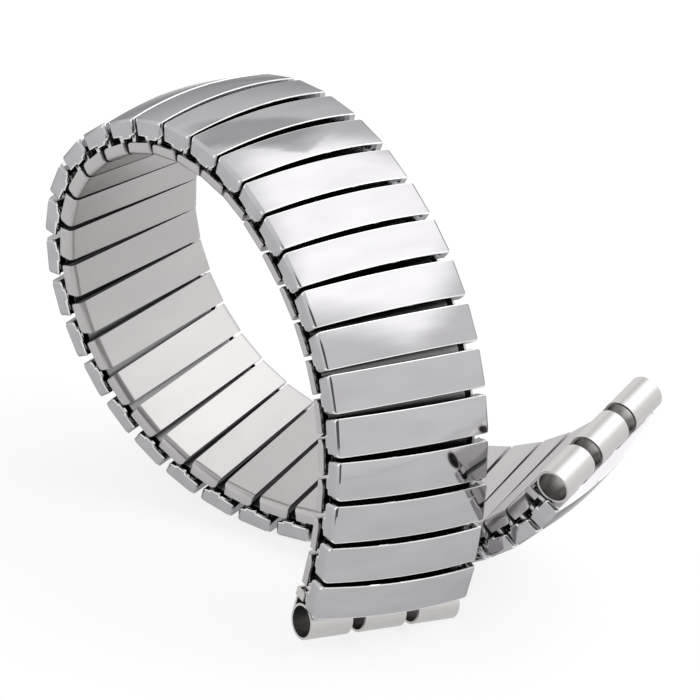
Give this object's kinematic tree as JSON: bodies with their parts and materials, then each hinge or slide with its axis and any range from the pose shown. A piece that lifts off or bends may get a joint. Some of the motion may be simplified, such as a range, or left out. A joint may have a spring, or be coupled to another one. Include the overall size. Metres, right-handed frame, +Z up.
{
  "type": "stretch watch band",
  "caption": "Polished steel stretch watch band, coiled, with crowned outer links, satin inner links and a rolled three-knuckle end at both ends.",
  "frame": {"origin": "middle of the start knuckles' bore, on its axis", "axes": "+Z up, out of the surface that the coil stands on; +Y along the coil's length, from the start end to the far fold; +X to the right, across the first links, near the start bore's axis"},
  "size_m": [0.0426, 0.0603, 0.0443],
  "materials": {
    "polished_steel": "mirror polished stainless steel",
    "satin_steel": "satin stainless steel",
    "bow_steel": "plain stamped stainless steel",
    "knuckle_steel": "fine satin stainless steel"
  },
  "bodies": {
    "start_knuckles": {"start_knuckles": "knuckle_steel"},
    "link_01": {"link_01": "polished_steel"},
    "link_02": {"link_02": "polished_steel"},
    "link_03": {"link_03": "polished_steel"},
    "outer_04": {"cover_04": "polished_steel", "outer_04": "satin_steel"},
    "near_bows_04": {"near_bows_04": "bow_steel"},
    "inner_04": {"inner_04": "satin_steel"},
    "far_bows_04": {"far_bows_04": "bow_steel"},
    "outer_05": {"cover_05": "polished_steel", "outer_05": "satin_steel"},
    "near_bows_05": {"near_bows_05": "bow_steel"},
    "inner_05": {"inner_05": "satin_steel"},
    "far_bows_05": {"far_bows_05": "bow_steel"},
    "outer_06": {"cover_06": "polished_steel", "outer_06": "satin_steel"},
    "near_bows_06": {"near_bows_06": "bow_steel"},
    "inner_06": {"inner_06": "satin_steel"},
    "far_bows_06": {"far_bows_06": "bow_steel"},
    "outer_07": {"cover_07": "polished_steel", "outer_07": "satin_steel"},
    "near_bows_07": {"near_bows_07": "bow_steel"},
    "inner_07": {"inner_07": "satin_steel"},
    "far_bows_07": {"far_bows_07": "bow_steel"},
    "outer_08": {"cover_08": "polished_steel", "outer_08": "satin_steel"},
    "near_bows_08": {"near_bows_08": "bow_steel"},
    "inner_08": {"inner_08": "satin_steel"},
    "far_bows_08": {"far_bows_08": "bow_steel"},
    "link_09": {"link_09": "polished_steel"},
    "link_10": {"link_10": "polished_steel"},
    "link_11": {"link_11": "polished_steel"},
    "link_12": {"link_12": "polished_steel"},
    "link_13": {"link_13": "polished_steel"},
    "link_14": {"link_14": "polished_steel"},
    "link_15": {"link_15": "polished_steel"},
    "link_16": {"link_16": "polished_steel"},
    "link_17": {"link_17": "polished_steel"},
    "link_18": {"link_18": "polished_steel"},
    "link_19": {"link_19": "polished_steel"},
    "link_20": {"link_20": "polished_steel"},
    "link_21": {"link_21": "polished_steel"},
    "link_22": {"link_22": "polished_steel"},
    "link_23": {"link_23": "polished_steel"},
    "link_24": {"link_24": "polished_steel"},
    "link_25": {"link_25": "polished_steel"},
    "link_26": {"link_26": "polished_steel"},
    "link_27": {"link_27": "polished_steel"},
    "link_28": {"link_28": "polished_steel"},
    "link_29": {"link_29": "polished_steel"},
    "link_30": {"link_30": "polished_steel"},
    "link_31": {"link_31": "polished_steel"},
    "link_32": {"link_32": "polished_steel"},
    "link_33": {"link_33": "polished_steel"},
    "link_34": {"link_34": "polished_steel"},
    "link_35": {"link_35": "polished_steel"},
    "link_36": {"link_36": "polished_steel"},
    "link_37": {"link_37": "polished_steel"},
    "link_38": {"link_38": "polished_steel"},
    "finish_knuckles": {"finish_knuckles": "knuckle_steel"}
  },
  "joints": [
    {"name": "start_turn", "type": "hinge", "parent": "start_knuckles", "child": "link_01", "pos_m": [0.00016, -0.00091, 0.00242], "axis": [0.9977, 0, -0.068], "range_deg": [-10, 8]},
    {"name": "bend_02", "type": "hinge", "parent": "link_01", "child": "link_02", "pos_m": [0.00044, -0.00134, 0.00653], "axis": [0.9976, 0.0174, -0.0667], "range_deg": [-2, 7]},
    {"name": "bend_03", "type": "hinge", "parent": "link_02", "child": "link_03", "pos_m": [0.00072, -0.00126, 0.01066], "axis": [0.9971, 0.0348, -0.0676], "range_deg": [-2, 7]},
    {"name": "bend_04", "type": "hinge", "parent": "link_03", "child": "outer_04", "pos_m": [0.00097, -0.00068, 0.01476], "axis": [0.9962, 0.052, -0.0705], "range_deg": [0, 7]},
    {"name": "stretch", "type": "hinge", "parent": "outer_04", "child": "near_bows_04", "pos_m": [0.00109, -0.0002, 0.01677], "axis": [0.9962, 0.052, -0.0705], "range_deg": [0, 36]},
    {"name": "inner_near_04", "type": "hinge", "parent": "near_bows_04", "child": "inner_04", "pos_m": [0.001, 0.0012, 0.01634], "axis": [0.9969, 0.0501, -0.0609], "range_deg": [-36, 0]},
    {"name": "inner_far_04", "type": "hinge", "parent": "inner_04", "child": "far_bows_04", "pos_m": [0.00109, 0.00182, 0.01832], "axis": [0.9969, 0.0501, -0.0609], "range_deg": [-36, 0]},
    {"name": "far_04", "type": "hinge", "parent": "far_bows_04", "child": "outer_05", "pos_m": [0.00118, 0.00041, 0.01875], "axis": [0.9975, 0.0488, -0.0513], "range_deg": [0, 36]},
    {"name": "near_05", "type": "hinge", "parent": "outer_05", "child": "near_bows_05", "pos_m": [0.00124, 0.00116, 0.02068], "axis": [0.9975, 0.0488, -0.0513], "range_deg": [0, 36]},
    {"name": "inner_near_05", "type": "hinge", "parent": "near_bows_05", "child": "inner_05", "pos_m": [0.00116, 0.0025, 0.02005], "axis": [0.998, 0.0483, -0.0415], "range_deg": [-36, 0]},
    {"name": "inner_far_05", "type": "hinge", "parent": "inner_05", "child": "far_bows_05", "pos_m": [0.0012, 0.00338, 0.02193], "axis": [0.998, 0.0483, -0.0415], "range_deg": [-36, 0]},
    {"name": "far_05", "type": "hinge", "parent": "far_bows_05", "child": "outer_06", "pos_m": [0.00128, 0.00204, 0.02256], "axis": [0.9983, 0.0484, -0.0318], "range_deg": [0, 36]},
    {"name": "near_06", "type": "hinge", "parent": "outer_06", "child": "near_bows_06", "pos_m": [0.00129, 0.00305, 0.02437], "axis": [0.9983, 0.0484, -0.0318], "range_deg": [0, 36]},
    {"name": "inner_near_06", "type": "hinge", "parent": "near_bows_06", "child": "inner_06", "pos_m": [0.00122, 0.00429, 0.02356], "axis": [0.9985, 0.0492, -0.0221], "range_deg": [-36, 0]},
    {"name": "inner_far_06", "type": "hinge", "parent": "inner_06", "child": "far_bows_06", "pos_m": [0.0012, 0.00542, 0.0253], "axis": [0.9985, 0.0492, -0.0221], "range_deg": [-36, 0]},
    {"name": "far_06", "type": "hinge", "parent": "far_bows_06", "child": "outer_07", "pos_m": [0.00127, 0.00418, 0.0261], "axis": [0.9986, 0.0506, -0.0124], "range_deg": [0, 36]},
    {"name": "near_07", "type": "hinge", "parent": "outer_07", "child": "near_bows_07", "pos_m": [0.00123, 0.00544, 0.02776], "axis": [0.9986, 0.0506, -0.0124], "range_deg": [0, 36]},
    {"name": "inner_near_07", "type": "hinge", "parent": "near_bows_07", "child": "inner_07", "pos_m": [0.00118, 0.00655, 0.02678], "axis": [0.9986, 0.0527, -0.0029], "range_deg": [-36, 0]},
    {"name": "inner_far_07", "type": "hinge", "parent": "inner_07", "child": "far_bows_07", "pos_m": [0.00111, 0.00791, 0.02835], "axis": [0.9986, 0.0527, -0.0029], "range_deg": [-36, 0]},
    {"name": "far_07", "type": "hinge", "parent": "far_bows_07", "child": "outer_08", "pos_m": [0.00116, 0.00679, 0.02931], "axis": [0.9984, 0.0555, 0.0064], "range_deg": [0, 36]},
    {"name": "near_08", "type": "hinge", "parent": "outer_08", "child": "near_bows_08", "pos_m": [0.00107, 0.00826, 0.03078], "axis": [0.9984, 0.0555, 0.0064], "range_deg": [0, 36]},
    {"name": "inner_near_08", "type": "hinge", "parent": "near_bows_08", "child": "inner_08", "pos_m": [0.00104, 0.00923, 0.02966], "axis": [0.9981, 0.0589, 0.0156], "range_deg": [-36, 0]},
    {"name": "inner_far_08", "type": "hinge", "parent": "inner_08", "child": "far_bows_08", "pos_m": [0.00093, 0.01079, 0.03102], "axis": [0.9981, 0.0589, 0.0156], "range_deg": [-36, 0]},
    {"name": "far_08", "type": "hinge", "parent": "far_bows_08", "child": "link_09", "pos_m": [0.00096, 0.00982, 0.03213], "axis": [0.9977, 0.063, 0.0245], "range_deg": [0, 36]},
    {"name": "bend_10", "type": "hinge", "parent": "link_09", "child": "link_10", "pos_m": [0.00067, 0.01319, 0.03454], "axis": [0.996, 0.0871, 0.0198], "range_deg": [0, 5.5]},
    {"name": "bend_11", "type": "hinge", "parent": "link_10", "child": "link_11", "pos_m": [0.0003, 0.01676, 0.03661], "axis": [0.9938, 0.1107, 0.0128], "range_deg": [0, 5.5]},
    {"name": "bend_12", "type": "hinge", "parent": "link_11", "child": "link_12", "pos_m": [-0.00017, 0.02053, 0.03826], "axis": [0.9908, 0.1318, 0.0304], "range_deg": [0, 9.5]},
    {"name": "bend_13", "type": "hinge", "parent": "link_12", "child": "link_13", "pos_m": [-0.00076, 0.0245, 0.03926], "axis": [0.9869, 0.1553, 0.0441], "range_deg": [0, 9.5]},
    {"name": "bend_14", "type": "hinge", "parent": "link_13", "child": "link_14", "pos_m": [-0.00144, 0.02857, 0.03957], "axis": [0.9821, 0.1807, 0.0537], "range_deg": [0, 9.5]},
    {"name": "bend_15", "type": "hinge", "parent": "link_14", "child": "link_15", "pos_m": [-0.00219, 0.03261, 0.03915], "axis": [0.9773, 0.2061, 0.0497], "range_deg": [0, 12]},
    {"name": "bend_16", "type": "hinge", "parent": "link_15", "child": "link_16", "pos_m": [-0.00296, 0.03647, 0.03788], "axis": [0.9724, 0.23, 0.0404], "range_deg": [0, 12]},
    {"name": "bend_17", "type": "hinge", "parent": "link_16", "child": "link_17", "pos_m": [-0.00369, 0.03997, 0.03581], "axis": [0.9738, 0.2229, 0.0452], "range_deg": [0, 13]},
    {"name": "bend_18", "type": "hinge", "parent": "link_17", "child": "link_18", "pos_m": [-0.00423, 0.04293, 0.03298], "axis": [0.9748, 0.2169, 0.0515], "range_deg": [0, 13]},
    {"name": "bend_19", "type": "hinge", "parent": "link_18", "child": "link_19", "pos_m": [-0.00454, 0.04517, 0.02954], "axis": [0.9734, 0.2201, 0.0633], "range_deg": [0, 16]},
    {"name": "bend_20", "type": "hinge", "parent": "link_19", "child": "link_20", "pos_m": [-0.00455, 0.04641, 0.02561], "axis": [0.9713, 0.2263, 0.0737], "range_deg": [0, 16]},
    {"name": "bend_21", "type": "hinge", "parent": "link_20", "child": "link_21", "pos_m": [-0.00426, 0.04662, 0.02149], "axis": [0.9649, 0.2432, 0.0993], "range_deg": [0, 12.5]},
    {"name": "bend_22", "type": "hinge", "parent": "link_21", "child": "link_22", "pos_m": [-0.00365, 0.04598, 0.01746], "axis": [0.9567, 0.265, 0.1204], "range_deg": [0, 12.5]},
    {"name": "bend_23", "type": "hinge", "parent": "link_22", "child": "link_23", "pos_m": [-0.00276, 0.04459, 0.01366], "axis": [0.9453, 0.2979, 0.133], "range_deg": [0, 9]},
    {"name": "bend_24", "type": "hinge", "parent": "link_23", "child": "link_24", "pos_m": [-0.00163, 0.04266, 0.01017], "axis": [0.9328, 0.332, 0.14], "range_deg": [0, 9]},
    {"name": "bend_25", "type": "hinge", "parent": "link_24", "child": "link_25", "pos_m": [-0.00028, 0.04025, 0.00709], "axis": [0.9212, 0.3604, 0.1468], "range_deg": [0, 9.5]},
    {"name": "bend_26", "type": "hinge", "parent": "link_25", "child": "link_26", "pos_m": [0.00127, 0.03741, 0.00451], "axis": [0.9091, 0.3893, 0.1484], "range_deg": [0, 9.5]},
    {"name": "bend_27", "type": "hinge", "parent": "link_26", "child": "link_27", "pos_m": [0.00299, 0.03423, 0.00251], "axis": [0.8968, 0.418, 0.1447], "range_deg": [0, 9.5]},
    {"name": "bend_28", "type": "hinge", "parent": "link_27", "child": "link_28", "pos_m": [0.00485, 0.03079, 0.00113], "axis": [0.8848, 0.4457, 0.1359], "range_deg": [0, 9]},
    {"name": "bend_29", "type": "hinge", "parent": "link_28", "child": "link_29", "pos_m": [0.0068, 0.02722, 0.00039], "axis": [0.8732, 0.4717, 0.1225], "range_deg": [0, 9]},
    {"name": "bend_30", "type": "hinge", "parent": "link_29", "child": "link_30", "pos_m": [0.0088, 0.02359, 0.0003], "axis": [0.8625, 0.4952, 0.1047], "range_deg": [0, 9]},
    {"name": "bend_31", "type": "hinge", "parent": "link_30", "child": "link_31", "pos_m": [0.01081, 0.01999, 0.00075], "axis": [0.8597, 0.496, 0.1219], "range_deg": [0, 2.5]},
    {"name": "bend_32", "type": "hinge", "parent": "link_31", "child": "link_32", "pos_m": [0.01279, 0.0164, 0.00138], "axis": [0.8563, 0.4974, 0.1389], "range_deg": [0, 2.5]},
    {"name": "bend_33", "type": "hinge", "parent": "link_32", "child": "link_33", "pos_m": [0.01474, 0.01283, 0.00219], "axis": [0.8523, 0.4993, 0.1558], "range_deg": [0, 2.5]},
    {"name": "bend_34", "type": "hinge", "parent": "link_33", "child": "link_34", "pos_m": [0.01657, 0.00929, 0.0033], "axis": [0.8609, 0.4788, 0.1721], "range_deg": [0, 10.5]},
    {"name": "bend_35", "type": "hinge", "parent": "link_34", "child": "link_35", "pos_m": [0.01808, 0.00588, 0.00509], "axis": [0.8666, 0.4605, 0.192], "range_deg": [0, 10.5]},
    {"name": "bend_36", "type": "hinge", "parent": "link_35", "child": "link_36", "pos_m": [0.01922, 0.00268, 0.00746], "axis": [0.877, 0.4366, 0.2009], "range_deg": [-2, 8]},
    {"name": "bend_37", "type": "hinge", "parent": "link_36", "child": "link_37", "pos_m": [0.02003, -0.00027, 0.01025], "axis": [0.8853, 0.4133, 0.2131], "range_deg": [-2, 8]},
    {"name": "bend_38", "type": "hinge", "parent": "link_37", "child": "link_38", "pos_m": [0.02046, -0.0029, 0.01342], "axis": [0.8834, 0.4033, 0.2387], "range_deg": [-2, 10]},
    {"name": "finish_turn", "type": "hinge", "parent": "link_38", "child": "finish_knuckles", "pos_m": [0.02051, -0.00405, 0.01515], "axis": [0.8834, 0.4033, 0.2387], "range_deg": [-10, 8]}
  ],
  "couplings": [
    {"joint": "inner_near_04", "follows": "stretch", "ratio": -1},
    {"joint": "inner_far_04", "follows": "stretch", "ratio": -1},
    {"joint": "far_04", "follows": "stretch", "ratio": 1},
    {"joint": "near_05", "follows": "stretch", "ratio": 1},
    {"joint": "inner_near_05", "follows": "stretch", "ratio": -1},
    {"joint": "inner_far_05", "follows": "stretch", "ratio": -1},
    {"joint": "far_05", "follows": "stretch", "ratio": 1},
    {"joint": "near_06", "follows": "stretch", "ratio": 1},
    {"joint": "inner_near_06", "follows": "stretch", "ratio": -1},
    {"joint": "inner_far_06", "follows": "stretch", "ratio": -1},
    {"joint": "far_06", "follows": "stretch", "ratio": 1},
    {"joint": "near_07", "follows": "stretch", "ratio": 1},
    {"joint": "inner_near_07", "follows": "stretch", "ratio": -1},
    {"joint": "inner_far_07", "follows": "stretch", "ratio": -1},
    {"joint": "far_07", "follows": "stretch", "ratio": 1},
    {"joint": "near_08", "follows": "stretch", "ratio": 1},
    {"joint": "inner_near_08", "follows": "stretch", "ratio": -1},
    {"joint": "inner_far_08", "follows": "stretch", "ratio": -1},
    {"joint": "far_08", "follows": "stretch", "ratio": 1}
  ]
}
